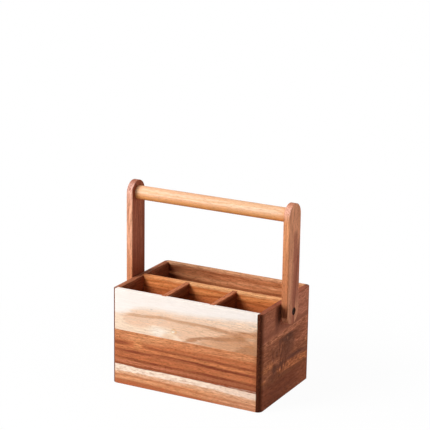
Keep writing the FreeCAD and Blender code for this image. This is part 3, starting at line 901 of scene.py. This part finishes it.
def screw_rule(given):
    """One screw along X, its head's seat at 0, then both of them."""
    counts = (150, 3, 2, 2, 6, 3)
    core, crest, head = given["core radius"], given["shank radius"], given["head radius"]
    height, rounding = given["head height"], given["head rounding"]
    threaded = given["length"] - given["plain length"]

    def profile(turn, row):
        thread, plain, seat, side, arc, top = stretches(row, counts)
        along = threaded * thread
        phase = along / given["pitch"] - turn
        wave = 1 - abs(phase.maths("FRACT", phase) * 2 - 1)
        ridge = wave.maths("MAXIMUM", wave, rise(thread, 0.93, 1.0))
        taper = along.node("ShaderNodeClamp", {}, {"Value": along / given["tip length"]})
        shank = (core + (crest - core) * ridge) * taper
        angle = arc * (math.pi / 2)
        place = along + given["plain length"] * plain - given["length"]
        place = place + (height - rounding) * side + rounding * angle.maths("SINE", angle)
        radius = shank + (head - crest) * seat - rounding * (1 - angle.maths("COSINE", angle))
        return place, radius - (head - rounding) * top

    screw = turned(given["faces around"], sum(counts), profile)
    span, width, depth = given["recess span"], given["recess width"], given["recess depth"]
    for long, short in ((span, width), (width, span)):
        size = screw.node("ShaderNodeCombineXYZ", {}, {"X": depth * 2, "Y": long, "Z": short})
        bar = moved(screw.node("GeometryNodeMeshCube", {}, {"Size": size}),
                    screw.node("ShaderNodeCombineXYZ", {}, {"X": height}))
        cut = {"operation": "DIFFERENCE", "solver": "MANIFOLD"}
        screw = screw.node("GeometryNodeMeshBoolean", cut, {"Mesh 1": screw, "Mesh 2": bar})
    return at_both_ends(screw, given)


HEAD_HEIGHT = 0.003
DULL_OXIDE = (0.028, 0.009, 0.005)
BRIGHT_OXIDE = (0.060, 0.027, 0.016)
low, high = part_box("right_pivot_screw")
SCREW = {"length": high[0] - HEAD_HEIGHT - low[0], "plain length": 0.009, "tip length": 0.005, "pitch": 0.002,
         "core radius": 0.0017, "shank radius": 0.0024, "head radius": (high[2] - low[2]) / 2,
         "head height": HEAD_HEIGHT, "head rounding": 0.0012, "recess span": 0.0046, "recess width": 0.0012,
         "recess depth": 0.0017, "distance": high[0] - HEAD_HEIGHT, "height": (low[2] + high[2]) / 2,
         "faces around": 48}
black_oxide = metal("black_oxide", 5.0, DULL_OXIDE, BRIGHT_OXIDE, sheen=0.6, metallic=0.0, specular=0.05)
screws = made_by_rule("pivot_screws", SCREW, screw_rule, black_oxide)
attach(screws, "caddy")
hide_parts("left_pivot_screw", "right_pivot_screw")


# ---------------------------------------------------------------- washers
# Two thin flat rings of brushed, zinc-plated steel. Each sits on its screw between the upright
# and the side of the box, and keeps the two from rubbing.
def washer_rule(given):
    """One ring along X from 0, then both of them."""
    counts = (2, 1, 2, 1)
    hole, outside, thickness = given["hole radius"], given["outside radius"], given["thickness"]

    def profile(turn, row):
        back_face, rim, front_face, bore = stretches(row, counts)
        return thickness * (rim - bore), hole + (outside - hole) * (back_face - front_face)

    return at_both_ends(turned(given["faces around"], sum(counts), profile), given)


DULL_ZINC = (0.42, 0.41, 0.39)
BRIGHT_ZINC = (0.66, 0.65, 0.63)
low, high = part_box("right_washer")
WASHER = {"hole radius": 0.00245, "outside radius": (high[2] - low[2]) / 2, "thickness": high[0] - low[0],
          "distance": low[0], "height": (low[2] + high[2]) / 2, "faces around": 64}
zinc = metal("brushed_zinc", 9.0, DULL_ZINC, BRIGHT_ZINC, sheen=0.38, metallic=1.0, specular=0.5)
washers = made_by_rule("pivot_washers", WASHER, washer_rule, zinc)
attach(washers, "caddy")
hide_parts("left_washer", "right_washer")


# ---------------------------------------------------------------- table, lamps and camera
# A plain white table that keeps the shadow of the caddy, in an even white room. A large lamp
# stands at the front left, a small low one at the back right, and a third hangs above.
WHITE = (1.0, 1.0, 1.0, 1.0)


def seen_directly(tree):
    """1 for rays from the camera, in reflections and through glass, and 0 for light that falls on things."""
    rays = tree.nodes.new("ShaderNodeLightPath")
    seen = Reading(rays.outputs["Is Camera Ray"])
    for name in ("Is Glossy Ray", "Is Transmission Ray"):
        seen = seen.maths("MAXIMUM", seen, Reading(rays.outputs[name]))
    return seen


AMBIENT = 0.12
world = bpy.data.worlds.new("studio")
bpy.context.scene.world = world
world.use_nodes = True
tree = world.node_tree
strength = AMBIENT + seen_directly(tree) * (1 - AMBIENT)
tree.links.new(strength.socket, tree.nodes["Background"].inputs["Strength"])
tree.nodes["Background"].inputs["Color"].default_value = WHITE

TABLE_REACH = 6.0
TABLE_SEEN = (0.95, 0.95, 0.95)
TABLE_LIT = (0.68, 0.68, 0.68)
GLOW_BY_CADDY = 0.96
mesh = bpy.data.meshes.new("table")
corners = [(-TABLE_REACH, -TABLE_REACH, 0), (TABLE_REACH, -TABLE_REACH, 0),
           (TABLE_REACH, TABLE_REACH, 0), (-TABLE_REACH, TABLE_REACH, 0)]
mesh.from_pydata(corners, [], [(0, 1, 2, 3)])
table = bpy.data.objects.new("table", mesh)
bpy.context.scene.collection.objects.link(table)
finish = bpy.data.materials.new("white_table")
finish.use_nodes = True
tree = finish.node_tree
surface = tree.nodes["Principled BSDF"]
surface.inputs["Roughness"].default_value = 0.7
surface.inputs["Specular IOR Level"].default_value = 0.1
seen = seen_directly(tree)
colour = blend(opaque(TABLE_LIT), opaque(TABLE_SEEN), seen)
tree.links.new(colour.socket, surface.inputs["Base Color"])
point = Reading(tree.nodes.new("ShaderNodeTexCoord").outputs["Object"])
away = rise(length_of(point), 0.2, 0.5)
share = seen * (GLOW_BY_CADDY + (1 - GLOW_BY_CADDY) * away)
glow = seen.node("ShaderNodeEmission", {}, {"Color": WHITE, "Strength": 1.0})
mixed = share.node("ShaderNodeMixShader", {}, {0: share, 1: Reading(surface.outputs[0]), 2: glow})
tree.links.new(mixed.socket, tree.nodes["Material Output"].inputs["Surface"])
table.data.materials.append(finish)


def lamp(name, place, aim, size, watts):
    """A square lamp that looks at a point and isn't seen itself."""
    data = bpy.data.lights.new(name, "AREA")
    data.shape = "SQUARE"
    data.size = size
    data.energy = watts
    made = bpy.data.objects.new(name, data)
    made.location = place
    made.visible_camera = False
    made.rotation_euler = (Vector(aim) - Vector(place)).to_track_quat("-Z", "Y").to_euler()
    bpy.context.scene.collection.objects.link(made)


lamp("key_lamp", (-1.0, -1.30, 1.35), aim=(0, 0, 0.12), size=1.0, watts=42.0)
lamp("low_lamp", (0.80, 0.78, 0.14), aim=(0, 0, 0.10), size=0.35, watts=4.6)
lamp("top_lamp", (-0.10, -0.10, 2.10), aim=(0, 0, 0.10), size=0.8, watts=8.5)

CAMERA_AZIMUTH = math.radians(27.703)
CAMERA_RISE = math.radians(15.81)
CAMERA_ROLL = math.radians(0.8265)
CAMERA_DISTANCE = 2.3619
CAMERA_AIM = Vector((0.003163, 0.0, 0.25054))
LENS = 139.30
SENSOR_WIDTH = 36.0

back = Vector((math.sin(CAMERA_AZIMUTH) * math.cos(CAMERA_RISE),
               -math.cos(CAMERA_AZIMUTH) * math.cos(CAMERA_RISE),
               math.sin(CAMERA_RISE)))
level = (-back).cross(Vector((0, 0, 1))).normalized()
upward = level.cross(-back)
right = level * math.cos(CAMERA_ROLL) + upward * math.sin(CAMERA_ROLL)
top = upward * math.cos(CAMERA_ROLL) - level * math.sin(CAMERA_ROLL)
camera_data = bpy.data.cameras.new("camera")
camera_data.lens = LENS
camera_data.sensor_width = SENSOR_WIDTH
camera = bpy.data.objects.new("camera", camera_data)
turn = Matrix((right, top, back)).transposed().to_4x4()
camera.matrix_world = Matrix.Translation(CAMERA_AIM + back * CAMERA_DISTANCE) @ turn
bpy.context.scene.collection.objects.link(camera)
bpy.context.scene.camera = camera
bpy.context.scene.view_settings.view_transform = "Standard"


def plain(bounds):
    """A box as plain lists of numbers."""
    return [[float(number) for number in corner] for corner in bounds]
